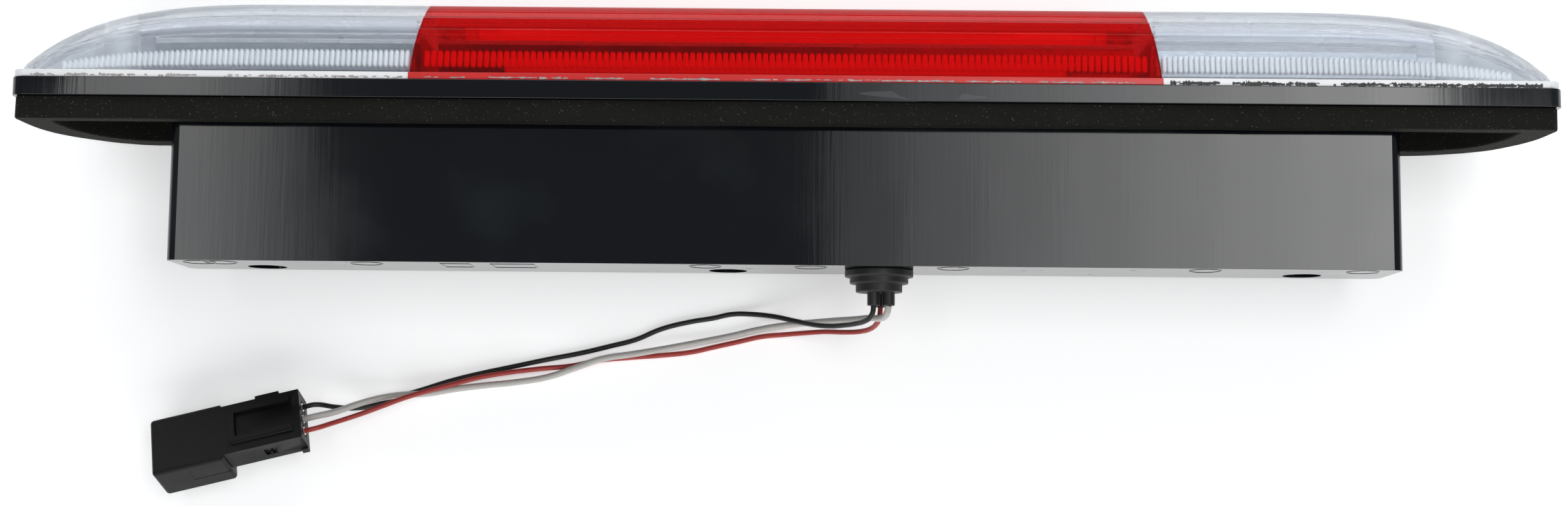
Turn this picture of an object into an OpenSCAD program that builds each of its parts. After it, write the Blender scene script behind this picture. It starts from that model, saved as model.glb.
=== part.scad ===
// High-level stop lamp for a pickup cab: a red stop section between two clear
// cargo-light ends, a black housing with a deep rear box, a foam gasket, and a
// three-wire pigtail that ends in a shrouded connector.
// X runs along the lamp, the lens faces -Y, the rear box faces +Y, and the long
// straight side is up (+Z). The lamp stands on its curved long side.

/* [Outline] */
// Length of the lamp
lamp_w = 430; // [420:1:440]
// Height of the flange, from the curved side to the straight side
lamp_h = 52; // [50:1:54]
// How far each lower corner curve runs in along the length
corner_run = 30; // [26:1:34]
// How far each lower corner curve rises up the end
corner_rise = 38; // [34:1:42]
// Radius where the straight side meets each end
tip_r = 4; // [3:0.5:6]

/* [Flange and gasket] */
// Thickness of the flange
flange_t = 5.2; // [4.6:0.2:6]
// Depth of the flange's front pocket
pocket_d = 2.6; // [2:0.2:3]
// Width of the weld land around the pocket
land_w = 5; // [4:0.5:6]
// Thickness of the foam gasket
gasket_t = 6.4; // [5:0.2:8]
// Inset of the gasket from the flange edge
gasket_inset = 1; // [0.5:0.5:2]
// Width of the gasket ring at the ends and along the curved side
ring_w = 9; // [7:0.5:10]

/* [Lens] */
// Height of the lens dome above the flange
lens_rise = 23; // [20:0.2:24]
// Thickness of the clear rim welded to the flange
rim_t = 2; // [1.4:0.2:2.6]
// Wall of the lens
lens_wall = 2.4; // [2:0.2:3]
// Length over which each end of the dome sweeps up to its full height
sweep_run = 74; // [70:1:78]
// Radius of the shoulder along the straight side
shoulder_r = 7; // [5:0.5:9]
// Half length of the red section where it meets the flange
red_base = 104.5; // [103:0.5:110]
// Half length of the red section at its crown
red_crown = 100; // [98:0.5:102]

/* [Rear box] */
// Length of the box
box_w = 344; // [336:1:348]
// Height of the box
box_h = 27; // [25:1:27]
// Depth of the box behind the flange
box_d = 45; // [40:1:50]
// Height of the box's lower wall above the curved side
box_z = 18; // [17:0.5:18]
// Wall of the box
wall = 2.2; // [1.8:0.1:2.6]
// Corner radius of the box
box_r = 3; // [2:0.5:4]

/* [Fixings] */
// Distance between the two mounting screws
screw_pitch = 380; // [376:1:384]
// Height of the mounting screws above the curved side
screw_z = 28; // [26:0.5:30]
// Radius of the mounting holes in the flange
screw_r = 2.75; // [2.5:0.05:3]
// Inner radius of the wells that lead the mounting screws through the lens
well_r = 5.2; // [5:0.1:5.6]
// Distance between the two reflector fixing wells in the box
boss_pitch = 296; // [290:1:300]
// Radius of the wells in the rear face of the box
rear_well_r = 5.5; // [5:0.1:6]

/* [Pigtail] */
// Diameter of the black and red wires
wire_d = 1.5; // [1.3:0.1:1.7]
// Diameter of the white wire
white_d = 1.9; // [1.6:0.1:2]
// Distance of the grommet from the middle of the lamp
grommet_x = 27; // [24:1:30]
// Length of the shroud of the connector
shroud_l = 21.2; // [20:0.2:24]
// Width of the shroud
shroud_w = 18.6; // [17:0.2:20]
// Height of the shroud
shroud_h = 13; // [12:0.5:15]
// Length of the connector behind its shroud
body_l = 23; // [20:0.2:24]
// How far the terminal lock slides out
lock_travel = 2; // [1:0.5:2.5]

/* [Hidden] */
$fn = 48;
eps = 0.01;

// Key planes along Y, measured from the rear plane of the flange
front_y = -flange_t;
rim_y = front_y - rim_t;
crown_y = front_y - lens_rise;
nipple_y = box_d + 10.2;
middle_y = (crown_y + nipple_y) / 2;

// Heights of the box and what sits on its centre line
box_top = box_z + box_h;
grommet_z = box_z + box_h / 2;
well_z = box_z + 8;
half_w = lamp_w / 2;

// Inner parts
board_t = 1.6;
board_h = 28;
board_z = 17;
board_back = -pocket_d;
board_front = board_back - board_t;
brake_w = 194;
brake_led_n = 12;
brake_led_pitch = 14.5;
cargo_in = 102;
cargo_out = 176;
cargo_led_n = 3;
cargo_led_pitch = 24;
led_z = 30;
cup_r = 3.4;
back_front = board_front - 1;
tray_front = -19;
tray_low = 8;
tray_high = 47;
tray_wall = 1.2;
post_x = 93.65;
post_head_r = 1.8;

// Wire exits on the grommet, [x, z] for black, white and red
black_exit = [-grommet_x + 1.6, grommet_z + 2.2];
white_exit = [-grommet_x - 2.6, grommet_z + 2.2];
red_exit = [-grommet_x - 0.6, grommet_z - 4.2];

// Connector frame: its origin is the bottom middle of its rear end
conn_roll = 28;
conn_yaw = 13.8;
conn_at = [138.4, 92.2, shroud_w / 2 * sin(conn_roll)];
body_w = 16.2;
body_h = 8;
shroud_wall = 1.4;
shroud_back = 2;
cavity_pitch = 4;
cavity_s = 3.2;
blade_w = 2.8;
blade_t = 0.8;
blade_z = shroud_h - body_h / 2;
blade_tip = body_l + 13;
leg_t = 1.2;
leg_y = 6.9;
lock_gap = 0.3;

// Points of an elliptical arc about [cx, cy]
function arc(cx, cy, rx, ry, from, to, n) =
    [for (i = [0:n]) let (a = from + (to - from) * i / n) [cx + rx * cos(a), cy + ry * sin(a)]];

// Outline of the lamp seen from the front, drawn in by inset, and by top on the straight side
function outline(inset, top, n = 16) =
    let (w = half_w - inset, h = lamp_h - top, r = max(tip_r - inset, 0.6),
         a = corner_run - inset, b = corner_rise - inset)
    concat(arc(w - r, h - r, r, r, 90, 0, 4),
           arc(w - a, inset + b, a, b, 0, -90, n),
           arc(-w + a, inset + b, a, b, -90, -180, n),
           arc(-w + r, h - r, r, r, 180, 90, 4));

// Outline of the dome seen from above, with its ends swept up from the flange
function sweep(inset) =
    let (rise = lens_rise - inset, run = sweep_run, w = half_w - 1 - inset,
         half = [for (i = [0:14]) let (s = cos(90 * i / 14))
             [w - run + run * s, front_y - rise * pow(max(1 - pow(s, 2.8), 0), 0.6)]])
    concat([[w, front_y + 1]], half,
           [for (i = [14:-1:0]) [-half[i][0], half[i][1]]],
           [[-w, front_y + 1]]);

// Cross-section of the dome, [y, z], with a tight upper and a soft lower shoulder
function section(inset) =
    let (rise = lens_rise - inset, r = shoulder_r - inset / 2, low = 13 - inset / 2,
         z1 = lamp_h - 1.5 - inset, z0 = 1.5 + inset)
    concat([[front_y + 1, z1]],
           arc(front_y - rise + r + 0.8, z1 - r - 0.6, r, r, 90, 180, 6),
           [[front_y - rise, (z0 + z1) / 2]],
           arc(front_y - rise + low + 0.8, z0 + low + 0.6, low, low, 180, 270, 6),
           [[front_y + 1, z0]]);

// Frames: the lamp about its own middle, and the connector where it lies
module place() translate([0, -middle_y, 0]) children();
module place_connector()
    place() translate(conn_at) rotate([conn_roll, 0, conn_yaw]) children();

// Prisms along Y, Z and X from flat outlines
module slab(y0, y1, pts) translate([0, y1, 0]) rotate([90, 0, 0]) linear_extrude(y1 - y0) polygon(pts);
module block(x0, x1, y0, y1, z0, z1) translate([x0, y0, z0]) cube([x1 - x0, y1 - y0, z1 - z0]);
module tray_part(x0, x1, pts) translate([x0, 0, 0]) rotate([90, 0, 90]) linear_extrude(x1 - x0) polygon(pts);
module rod(x, z, y0, y1, r) translate([x, y1, z]) rotate([90, 0, 0]) cylinder(r = r, h = y1 - y0);

// Rounded box prism along Y, drawn in by inset
module box_prism(y0, y1, inset) {
    r = box_r - min(inset, box_r - 1);
    x = box_w / 2 - inset - r;
    slab(y0, y1, concat(arc(x, box_top - inset - r, r, r, 90, 0, 4), arc(x, box_z + inset + r, r, r, 0, -90, 4),
        arc(-x, box_z + inset + r, r, r, -90, -180, 4), arc(-x, box_top - inset - r, r, r, 180, 90, 4)));
}

// Housing: flange with its pocket, rear box, screw wells and hole for the grommet
module housing() place() color([0.03, 0.03, 0.035]) difference() {
    union() {
        slab(front_y, 0, outline(0, 0));
        box_prism(-1, box_d, 0);
        for (s = [-1, 1]) block(s * 178 - 5, s * 178 + 5, -1, 1.6, box_z + 6, box_top - 6);
    }
    slab(front_y - 1, -pocket_d, outline(land_w, land_w));
    difference() {
        box_prism(front_y, box_d - wall, wall);
        for (s = [-1, 1]) rod(s * boss_pitch / 2, well_z, 2, box_d, rear_well_r + 1.6);
        for (s = [-1, 1]) rod(s * post_x, well_z, 2, box_d, 3.6);
        rod(16, well_z, box_d - 7, box_d, rear_well_r + 1.4);
    }
    for (s = [-1, 1]) {
        rod(s * boss_pitch / 2, well_z, 4, box_d + 1, rear_well_r);
        rod(s * boss_pitch / 2, well_z, 0, 5, 1.7);
        rod(s * post_x, well_z, 1, 14, 1.15);
        rod(s * screw_pitch / 2, screw_z, front_y - 1, 1, screw_r);
    }
    rod(16, well_z, box_d - 5, box_d + 1, rear_well_r);
    rod(16, well_z, box_d - 8, box_d, 1.5);
    rod(-grommet_x, grommet_z, box_d - wall - 1, box_d + 1, 7);
}

// Foam gasket: a ring behind the flange, bonded to it all round
module foam_gasket() place() color([0.09, 0.085, 0.07]) difference() {
    slab(0, gasket_t, outline(gasket_inset, gasket_inset));
    slab(-1, gasket_t + 1, outline(gasket_inset + ring_w, lamp_h - box_top - 0.4));
}

// Dome of the lens, drawn in by inset, from the plane base forward
module dome(inset, base) intersection() {
    slab(crown_y - 1, base, outline(1.5 + inset, 1.5 + inset));
    linear_extrude(lamp_h + 1) polygon(sweep(inset));
    tray_part(-half_w, half_w, section(inset));
}

// Lens shell with its cavity cut out but the well tubes left standing
module lens_body() difference() {
    union() {
        slab(rim_y, front_y, outline(0.4, 0.4));
        dome(0, front_y);
    }
    difference() {
        union() {
            dome(lens_wall, front_y + 1);
            slab(rim_y - eps, front_y + 1, outline(land_w, land_w));
        }
        for (s = [-1, 1]) rod(s * screw_pitch / 2, screw_z, crown_y, front_y + 2, well_r + 1.4);
    }
    for (s = [-1, 1]) rod(s * screw_pitch / 2, screw_z, crown_y - 1, front_y + 2, well_r);
}

// Zone of the red section, seen from above
module red_zone() translate([0, 0, -1]) linear_extrude(lamp_h + 2) polygon([[red_base, 1],
    [red_base, rim_y], [red_crown, crown_y - 1], [-red_crown, crown_y - 1], [-red_base, rim_y], [-red_base, 1]]);

module red_lens() place() color([0.75, 0.02, 0.03, 0.6]) intersection() {
    lens_body();
    red_zone();
}

module clear_lens(side) place() color([0.85, 0.88, 0.92, 0.4]) difference() {
    lens_body();
    red_zone();
    block(side > 0 ? -half_w - 1 : 0, side > 0 ? 0 : half_w + 1, crown_y - 2, 3, -1, lamp_h + 1);
}

module clear_lens_left() clear_lens(1);
module clear_lens_right() clear_lens(-1);

// Cross-section of a reflector tray, [y, z]: a back wall between two flared sides
tray_section = [[back_front, 18], [back_front - 1, 44], [tray_front + 2, tray_high],
    [tray_front + 2, tray_high - tray_wall], [back_front - 2.2, 42], [back_front - 1.2, 19],
    [tray_front + 6, tray_low + tray_wall], [tray_front + 6, tray_low]];

// End wall of a tray, filling its cross-section
module tray_end(x0, x1) tray_part(x0, x1, [[back_front, 18], [back_front - 1, 44],
    [tray_front + 2, tray_high], [tray_front, tray_high - 5], [tray_front, tray_low + 10],
    [tray_front + 6, tray_low]]);

// Row of n places along X about middle, pitch apart
module row(n, pitch, middle = 0) for (i = [0:n - 1]) translate([middle + (i - (n - 1) / 2) * pitch, 0, 0]) children();

// Stop reflector: tray, a cup for each light and a double wall at each end
module brake_reflector() place() color([0.8, 0.8, 0.82]) difference() {
    union() {
        tray_part(-brake_w / 2, brake_w / 2, tray_section);
        for (s = [-1, 1]) {
            tray_end(s * 91 - 0.7, s * 91 + 0.7);
            tray_end(s * 96.3 - 0.7, s * 96.3 + 0.7);
        }
        row(brake_led_n, brake_led_pitch) rod(0, led_z, back_front - 4, back_front - 0.6, cup_r + 1.4);
    }
    row(brake_led_n, brake_led_pitch) rod(0, led_z, back_front - 5, back_front + 2, cup_r);
    for (s = [-1, 1]) {
        rod(s * post_x, well_z, back_front - 6, 1, 1.3);
        rod(s * post_x, well_z, back_front - 6, back_front - 1.6, post_head_r + 0.1);
    }
}

// Cargo reflector: tray, cups, end walls and the post that its fixing screw enters
module cargo_reflector(side) place() color([0.82, 0.83, 0.85]) difference() {
    middle = side * (cargo_in + cargo_out) / 2;
    union() {
        tray_part(min(side * cargo_in, side * cargo_out), max(side * cargo_in, side * cargo_out), tray_section);
        for (x = [cargo_in + 0.7, cargo_out - 0.7]) tray_end(side * x - 0.7, side * x + 0.7);
        row(cargo_led_n, cargo_led_pitch, middle) rod(0, led_z, back_front - 4, back_front - 0.6, cup_r + 1.4);
        rod(side * boss_pitch / 2, well_z, back_front - 2.5, 2, 2.8);
    }
    row(cargo_led_n, cargo_led_pitch, middle) rod(0, led_z, back_front - 5, back_front + 2, cup_r);
    rod(side * boss_pitch / 2, well_z, -4, 3, 1.1);
}

module cargo_reflector_left() cargo_reflector(1);
module cargo_reflector_right() cargo_reflector(-1);

// Circuit boards, seated on the pocket floor across the box opening
module brake_led_board() place() color([0.05, 0.25, 0.1]) difference() {
    block(-99, 99, board_front, board_back, board_z, board_z + board_h);
    for (s = [-1, 1]) rod(s * post_x, well_z, board_front - 1, board_back + 1, 1.8);
}

module cargo_board(side) place() color([0.05, 0.25, 0.1]) difference() {
    block(side > 0 ? 104 : -174, side > 0 ? 174 : -104, board_front, board_back, board_z, board_z + board_h);
    rod(side * boss_pitch / 2, well_z, board_front - 1, board_back + 1, 3.1);
}

module cargo_board_left() cargo_board(1);
module cargo_board_right() cargo_board(-1);

// One light: a square base and its round lens
module led() {
    block(-2.3, 2.3, board_front - 1, board_front, led_z - 2.3, led_z + 2.3);
    rod(0, led_z, board_front - 2.4, board_front - 1, 1.9);
}

module brake_leds() place() color([0.9, 0.3, 0.25]) row(brake_led_n, brake_led_pitch) led();
module cargo_leds_left() place() color([0.95, 0.9, 0.6]) row(cargo_led_n, cargo_led_pitch, (cargo_in + cargo_out) / 2) led();
module cargo_leds_right() place() color([0.95, 0.9, 0.6]) row(cargo_led_n, cargo_led_pitch, -(cargo_in + cargo_out) / 2) led();

// Electronics on the back of the stop board
module resistors() place() color([0.1, 0.1, 0.1]) row(8, 18, 0) block(-1.6, 1.6, board_back, board_back + 0.6, 38, 39.6);
module driver_chips() place() color([0.12, 0.12, 0.13]) for (x = [-58, 22, 60])
    block(x - 3.3, x + 3.3, board_back, board_back + 2.3, 22.5, 28.5);

// Screws: a domed head and a shank along Y, head towards dir
module screw(x, head_y, dir, length, r, head_r) {
    tip_y = head_y - dir * length;
    rod(x, well_z, min(head_y, tip_y), max(head_y, tip_y), r);
    difference() {
        rod(x, well_z, min(head_y, head_y + dir * 2), max(head_y, head_y + dir * 2), head_r);
        for (a = [0, 90]) translate([x, head_y + dir * 2, well_z]) rotate([0, a, 0]) cube([3, 1.6, 0.8], center = true);
    }
}

module reflector_screws() place() color([0.6, 0.6, 0.55]) for (s = [-1, 1])
    screw(s * post_x, back_front - 1.6, -1, 14, 1.05, post_head_r);
module carrier_screws() place() color([0.6, 0.6, 0.55]) for (s = [-1, 1])
    screw(s * boss_pitch / 2, 4, 1, 7, 1.05, 3.2);

// Vent plug: a porous disc in the shallow middle well
module vent_plug() place() color([0.2, 0.2, 0.2]) rod(16, well_z, box_d - 5, box_d - 3, rear_well_r - 0.02);

// Grommet: stepped rubber bush with an inner lip and a nipple for each wire
module grommet() place() color([0.04, 0.04, 0.04]) {
    union() {
        rod(-grommet_x, grommet_z, box_d - wall - 1.8, box_d - wall, 8.6);
        rod(-grommet_x, grommet_z, box_d - wall - eps, box_d + eps, 6.98);
        rod(-grommet_x, grommet_z, box_d, box_d + 2, 9.7);
        rod(-grommet_x, grommet_z, box_d + 2, box_d + 3.9, 8.3);
        rod(-grommet_x, grommet_z, box_d + 3.9, box_d + 6.3, 6.6);
        for (e = [black_exit, white_exit, red_exit]) rod(e[0], e[1], box_d + 6, nipple_y, 1.8);
    }
}

// Direction of a route at its point i
function unit(v) = v / norm(v);
function heading(p, i) = unit(p[i + 1] - p[i - 1]);

// Tube of diameter d along a route, with flat ends square to first and last
module wire(p, d, first = [0, 1, 0], last = [0, 1, 0], sides = 8) {
    n = len(p);
    ways = [for (i = [0:n - 1]) i == 0 ? first : i == n - 1 ? last : heading(p, i)];
    points = [for (i = [0:n - 1]) let (w = ways[i], u = unit(cross(w, [0.31, 0.17, 0.94])), v = cross(w, u))
        for (k = [0:sides - 1]) let (a = 360 * k / sides) p[i] + d / 2 * (cos(a) * u + sin(a) * v)];
    walls = [for (i = [0:n - 2]) for (k = [0:sides - 1])
        let (a = i * sides + k, b = i * sides + (k + 1) % sides) [a, a + sides, b + sides, b]];
    ends = [[for (k = [0:sides - 1]) k], [for (k = [0:sides - 1]) (n - 1) * sides + sides - 1 - k]];
    polyhedron(points = points, faces = concat(walls, ends), convexity = 4);
}

// Leads inside the box, from the grommet's inner lip to the back of the stop board
lead_y = box_d - wall - 1.8;
module inner_leads() place() color([0.5, 0.5, 0.5])
    for (l = [[black_exit, -19], [white_exit, -31], [red_exit, -25]]) let (e = l[0], x = l[1])
        wire([[e[0], lead_y, e[1]], [e[0], lead_y - 4, e[1]], [e[0], lead_y - 9, e[1] - 1],
            [(e[0] + x) / 2, 24, 30], [x, 16, 30], [x, 8, 32], [x, 3, 34.5], [x, board_back, 35]],
            wire_d, [0, -1, 0], [0, -1, 0]);

// Links from the stop board to the cargo boards
module link_leads() place() color([0.5, 0.5, 0.5]) for (s = [-1, 1]) for (z = [32, 35.5])
    wire([[s * 90, board_back, z], [s * 90.3, 0.5, z], [s * 92, 3, z], [s * 96, 4.6, z], [s * 104, 4.6, z],
        [s * 108, 3, z], [s * 109.7, 0.5, z], [s * 110, board_back, z]], 1.2, [0, 1, 0], [0, -1, 0]);

// Centre lines of the three wires outside the lamp, from nipple to connector
black_route = [[black_exit[0], nipple_y, black_exit[1]], [-25.2, 57, 33.4], [-24.4, 58.5, 32.3],
    [-23.2, 59.3, 30.4], [-20.8, 59.8, 26.6], [-17.5, 60, 22.2], [-13.5, 60, 17.8], [-9, 59.4, 13.4], [-3.5, 58, 8.4], [3, 56.4, 4.2], [9.5, 55.6, 1.6],
    [15.5, 55.6, 0.8], [21, 56.8, 0.8], [28, 58, 0.8], [36.5, 60.2, 0.8], [44, 63.4, 0.8], [51.5, 65.4, 0.8],
    [60.5, 67.6, 0.8], [70.5, 69.6, 0.8], [80.5, 71.8, 0.8], [90.5, 74, 0.8], [99, 76.2, 0.8], [107, 78.8, 0.8],
    [114, 81, 1], [120.5, 83.5, 2.1], [126.4, 84.6, 4.2], [131.4, 84.4, 7]];
white_route = [[white_exit[0], nipple_y, white_exit[1]], [-29.3, 57, 33.3], [-28.5, 58.2, 32.2], [-27.4, 58.5, 30.4],
    [-25, 58.2, 26.8], [-20.5, 58.2, 20.4], [-14.5, 58.2, 14], [-8, 58.4, 8.4], [-2, 58.8, 4.6], [6.5, 60, 1.9], [16, 62.2, 1.2],
    [26.5, 64.4, 1.8], [34.5, 66, 2.5], [44.5, 67.8, 2.8], [54, 69.4, 3], [61, 71.8, 2.8], [70, 74.8, 1.4],
    [79.5, 76.4, 1], [88.5, 77.4, 1], [97.5, 78.6, 1.3], [105.5, 80, 2.3], [113.5, 80.6, 3.4], [119, 81.6, 4.6],
    [124.8, 83.4, 7], [131, 85.9, 10]];
red_route = [[red_exit[0], nipple_y, red_exit[1]], [-27.5, 57, 27], [-27.2, 58.6, 26], [-26.7, 59.6, 24.2],
    [-25.2, 60.8, 20.8], [-22.4, 61.4, 16.8], [-18, 61.4, 12.6], [-12, 61, 7.4], [-6, 61.2, 4], [0, 61.6, 1.8], [6.5, 62.2, 0.9],
    [13.5, 63.8, 0.8], [20.5, 65.4, 0.8], [27.5, 67, 0.8], [36, 68, 0.8], [46, 68.8, 0.8], [55.5, 69.8, 0.8],
    [63, 71.4, 0.8], [72.5, 72.4, 1.8], [81.5, 73.6, 2.4], [89.5, 75, 2.5], [98.5, 77.4, 2.9], [106, 79.6, 4.2],
    [112, 81.6, 5.2], [118.5, 84.2, 6.2], [125, 86.8, 8], [131.4, 89.2, 11]];

// Where each wire enters the connector: local place on its rear end, worked out in the lamp's frame
function turned(v) = let (r = conn_roll, q = conn_yaw, y = v[1] * cos(r) - v[2] * sin(r), z = v[1] * sin(r) + v[2] * cos(r))
    [v[0] * cos(q) - y * sin(q), v[0] * sin(q) + y * cos(q), z];
function rear_hole(y) = conn_at + turned([0, y, blade_z]);
function run_in(y) = conn_at + turned([-3.5, y, blade_z]);
conn_way = turned([1, 0, 0]);

module pigtail_wire(route, d, y) place() wire(concat(route, [run_in(y), rear_hole(y)]), d, [0, 1, 0], conn_way);
module black_wire() color([0.05, 0.05, 0.05]) pigtail_wire(black_route, wire_d, -cavity_pitch);
module white_wire() color([0.85, 0.84, 0.8]) pigtail_wire(white_route, white_d, 0);
module red_wire() color([0.6, 0.08, 0.08]) pigtail_wire(red_route, wire_d, cavity_pitch);

// Connector housing: wired body with a clip rail on top, and the hollow shroud in front
module connector_housing() place_connector() color([0.06, 0.06, 0.065]) difference() {
    l = body_l + shroud_l;
    union() {
        block(0, body_l, -body_w / 2, body_w / 2, shroud_h - body_h, shroud_h);
        block(body_l - eps, l, -shroud_w / 2, shroud_w / 2, 0, shroud_h);
        block(2.5, 20.5, -5.8, -4.2, shroud_h - eps, shroud_h + 1.4);
        block(2.5, 20.5, 3.6, 5.2, shroud_h - eps, shroud_h + 1.4);
        block(19, 20.5, -4.3, 3.7, shroud_h - eps, shroud_h + 1.4);
        block(6, 13, -body_w / 2 - 1.3, -body_w / 2 + 0.5, shroud_h - 4, shroud_h - 0.6);
        block(0, 2, body_w / 2 - 0.5, body_w / 2 + 0.8, shroud_h - body_h, shroud_h - body_h + 2);
    }
    block(body_l + shroud_back, l + 1, -shroud_w / 2 + shroud_wall, shroud_w / 2 - shroud_wall,
        shroud_wall, shroud_h - shroud_wall);
    for (y = [-cavity_pitch, 0, cavity_pitch])
        block(-1, body_l + shroud_back + 1, y - cavity_s / 2, y + cavity_s / 2, blade_z - cavity_s / 2, blade_z + cavity_s / 2);
    for (s = [-1, 1]) {
        block(body_l - 9, body_l + shroud_back + 1, s * leg_y - leg_t / 2 - lock_gap, s * leg_y + leg_t / 2 + lock_gap,
            blade_z - 2.3, blade_z + 2.3);
    }
    block(8.5, 12, body_w / 2 - 0.9, body_w / 2 + 1, blade_z - 1.6, blade_z + 1.6);
}

// Terminals: three tab blades, each with the barrel that grips its wire
module connector_terminals() place_connector() color([0.75, 0.7, 0.55]) for (y = [-cavity_pitch, 0, cavity_pitch]) {
    union() {
        block(6, blade_tip, y - blade_w / 2, y + blade_w / 2, blade_z - blade_t / 2, blade_z + blade_t / 2);
        translate([0.02, y, blade_z]) rotate([0, 90, 0]) cylinder(r = 1.3, h = 7);
    }
}

// Terminal lock: a comb across the back of the shroud with a leg down each side
module terminal_lock() place_connector() color([0.75, 0.72, 0.65]) difference() {
    x = body_l + shroud_back + lock_gap;
    union() {
        block(x, x + 2.6, -7.5, 7.5, blade_z - 2, blade_z + 2);
        for (s = [-1, 1]) block(x - 8, x + 1, s * leg_y - leg_t / 2, s * leg_y + leg_t / 2, blade_z - 2, blade_z + 2);
    }
    for (y = [-cavity_pitch, 0, cavity_pitch])
        block(x - 1, x + 4, y - blade_w / 2 - lock_gap, y + blade_w / 2 + lock_gap,
            blade_z - blade_t / 2 - lock_gap, blade_z + blade_t / 2 + lock_gap);
}

housing();
foam_gasket();
red_lens();
clear_lens_left();
clear_lens_right();
brake_reflector();
cargo_reflector_left();
cargo_reflector_right();
brake_led_board();
brake_leds();
resistors();
driver_chips();
cargo_board_left();
cargo_board_right();
cargo_leds_left();
cargo_leds_right();
reflector_screws();
carrier_screws();
vent_plug();
grommet();
inner_leads();
link_leads();
black_wire();
white_wire();
red_wire();
connector_housing();
connector_terminals();
terminal_lock();
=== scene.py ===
import math
import bmesh
import bpy
from mathutils import Matrix, Vector, noise


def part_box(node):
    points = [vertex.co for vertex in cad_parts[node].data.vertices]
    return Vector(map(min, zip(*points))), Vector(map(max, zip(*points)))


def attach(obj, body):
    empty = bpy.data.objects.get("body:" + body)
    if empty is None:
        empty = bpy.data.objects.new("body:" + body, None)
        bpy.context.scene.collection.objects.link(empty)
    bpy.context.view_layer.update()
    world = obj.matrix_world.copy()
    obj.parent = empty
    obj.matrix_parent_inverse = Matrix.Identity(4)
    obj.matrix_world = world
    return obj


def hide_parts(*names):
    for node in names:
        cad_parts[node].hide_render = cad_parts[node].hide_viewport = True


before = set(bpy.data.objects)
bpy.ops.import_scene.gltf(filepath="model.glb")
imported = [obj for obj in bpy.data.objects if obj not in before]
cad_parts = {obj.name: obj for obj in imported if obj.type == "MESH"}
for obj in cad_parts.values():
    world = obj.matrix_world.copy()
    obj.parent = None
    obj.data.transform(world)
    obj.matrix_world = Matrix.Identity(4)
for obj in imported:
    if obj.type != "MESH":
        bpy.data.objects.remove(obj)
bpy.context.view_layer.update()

# Camera. It looks down on the long straight side of the lamp, from a little
# behind it, with the lens at the top of the view and the pigtail at the bottom.
# Places are given in millimetres from the rear plane of the flange, as at() takes them.
mm = 0.001
flange_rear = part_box("foam_gasket")[0][1] / mm


def at(x, y, z):
    return Vector((x, y + flange_rear, z)) * mm


camera_data = bpy.data.cameras.new("camera")
camera_data.sensor_width = 36
camera_data.lens = 47.53
camera = bpy.data.objects.new("camera", camera_data)
bpy.context.scene.collection.objects.link(camera)
bpy.context.scene.camera = camera
look = Vector((0.0062, -0.1020, -0.9948)).normalized()
across = Vector((-0.99994, -0.00926, -0.00529))
across = (across - look * across.dot(look)).normalized()
turn_to = Matrix((across, across.cross(look), -look)).transposed().to_4x4()
camera.matrix_world = Matrix.Translation(at(-3.65, 100.2, 616.0)) @ turn_to


# Finishes. A Finish is a material being made, on one Principled shader. Its
# node() adds any other node, and a Socket is a node's output, on which the
# arithmetic operators add Math nodes.
class Socket:
    def __init__(self, finish, output):
        self.finish = finish
        self.output = output

    def math(self, operation, first, second):
        return self.finish.node("Math", {"operation": operation}, {0: first, 1: second})

    def __add__(self, other):
        return self.math("ADD", self, other)

    def __radd__(self, other):
        return self.math("ADD", other, self)

    def __sub__(self, other):
        return self.math("SUBTRACT", self, other)

    def __rsub__(self, other):
        return self.math("SUBTRACT", other, self)

    def __mul__(self, other):
        return self.math("MULTIPLY", self, other)

    def __rmul__(self, other):
        return self.math("MULTIPLY", other, self)

    def above(self, level):
        return self.math("GREATER_THAN", self, level)


class Finish:
    def __init__(self, name, **settings):
        self.material = bpy.data.materials.new(name)
        self.material.use_nodes = True
        self.tree = self.material.node_tree
        self.shader = self.tree.nodes["Principled BSDF"]
        self.place = self.node("TexCoord", {}, {}, "Object")
        for name, value in settings.items():
            self.feed(name.replace("_", " ").title().replace("Ior", "IOR"), value)

    def node(self, kind, settings, values, output=0):
        node = self.tree.nodes.new("ShaderNode" + kind)
        for name, value in settings.items():
            setattr(node, name, value)
        for name, value in values.items():
            self.join(node.inputs[name], value)
        return Socket(self, node.outputs[output])

    def join(self, entry, value):
        if isinstance(value, Socket):
            self.tree.links.new(value.output, entry)
        elif isinstance(value, tuple) and len(value) == 3 and entry.type == "RGBA":
            entry.default_value = (*value, 1)
        else:
            entry.default_value = value

    def feed(self, name, value):
        self.join(self.shader.inputs[name], value)

    def grain(self, scale, stretch=(1, 1, 1), detail=3, kind="TexNoise", output=0):
        spread = self.node("VectorMath", {"operation": "MULTIPLY"}, {0: self.place, 1: stretch})
        values = {"Vector": spread, "Scale": scale}
        if kind == "TexNoise":
            values["Detail"] = detail
        return self.node(kind, {}, values, output)

    def between(self, value, low, high, start=0.3, stop=0.7):
        return self.node("MapRange", {}, {0: value, 1: start, 2: stop, 3: low, 4: high})

    def mix(self, share, first, second):
        return self.node("Mix", {"data_type": "RGBA"}, {0: share, 6: first, 7: second}, 2)

    def bump(self, height, distance, strength=1.0):
        values = {"Height": height, "Distance": distance, "Strength": strength}
        self.feed("Normal", self.node("Bump", {}, values))


def own(name, data, finish, stands_for=(), body="lamp"):
    """Puts a finished piece on its body, with its finish and the CAD parts it stands for."""
    data.materials.append(finish.material)
    made = bpy.data.objects.new(name, data)
    bpy.context.scene.collection.objects.link(made)
    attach(made, body)
    if stands_for:
        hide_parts(*stands_for)
    return made


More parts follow.
